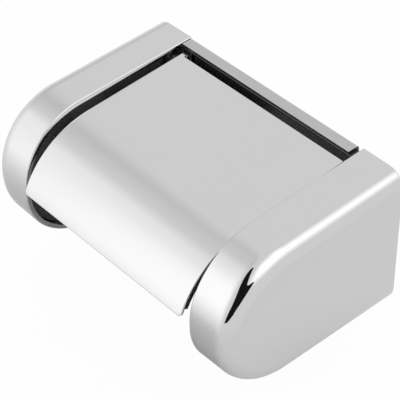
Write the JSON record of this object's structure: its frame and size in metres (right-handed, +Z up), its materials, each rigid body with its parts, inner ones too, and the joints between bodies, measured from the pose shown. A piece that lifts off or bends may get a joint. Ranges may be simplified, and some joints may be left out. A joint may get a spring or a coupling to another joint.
{
  "type": "toilet paper holder",
  "caption": "Wall-mounted toilet paper holder with rounded hollow cheeks, a sprung spindle between them and a bent sheet lid, hinged at the back, that covers the roll.",
  "frame": {"origin": "on the wall, midway between the wall screws and level with the spindle", "axes": "+X along the wall to the right seen from the room, +Y into the wall, +Z up"},
  "size_m": [0.1574, 0.1033, 0.076],
  "materials": {
    "chrome": "polished chrome plate",
    "dark_plastic": "matt moulded",
    "rubber": "matt",
    "steel": "plain zinc plated",
    "acetal": "black, smooth",
    "black_sheet": "matt black coating on steel sheet",
    "brushed_sheet": "brushed along its length",
    "plated_plastic": "chrome plated"
  },
  "bodies": {
    "frame": {"left_cheek": "chrome", "right_cheek": "chrome", "left_inner_plate": "dark_plastic", "right_inner_plate": "dark_plastic", "lid_buffers": "rubber", "left_hinge_pin": "steel", "right_hinge_pin": "steel", "back_plate": "black_sheet", "wall_bracket": "brushed_sheet", "clinch_nuts": "steel", "set_screws": "steel", "frame_screws": "steel", "cover_screws": "steel"},
    "lid": {"lid": "chrome", "left_hinge_bush": "acetal", "right_hinge_bush": "acetal"},
    "spindle": {"spindle_sleeve": "plated_plastic", "spindle_spring": "steel"},
    "plunger": {"spindle_plunger": "plated_plastic"}
  },
  "joints": [
    {"name": "lid_hinge", "type": "hinge", "parent": "frame", "child": "lid", "pos_m": [0, -0.01134, 0.03061], "axis": [-1, 0, 0], "range_deg": [0, 96]},
    {"name": "spindle_spin", "type": "hinge", "parent": "frame", "child": "spindle", "pos_m": [0, -0.064, 0], "axis": [1, 0, 0], "continuous": true},
    {"name": "plunger_slide", "type": "slide", "parent": "spindle", "child": "plunger", "axis": [-1, 0, 0], "range_m": [0, 0.009], "stiffness_N_per_m": 300, "springref_m": -0.01, "deforming": ["spindle_spring"]}
  ]
}
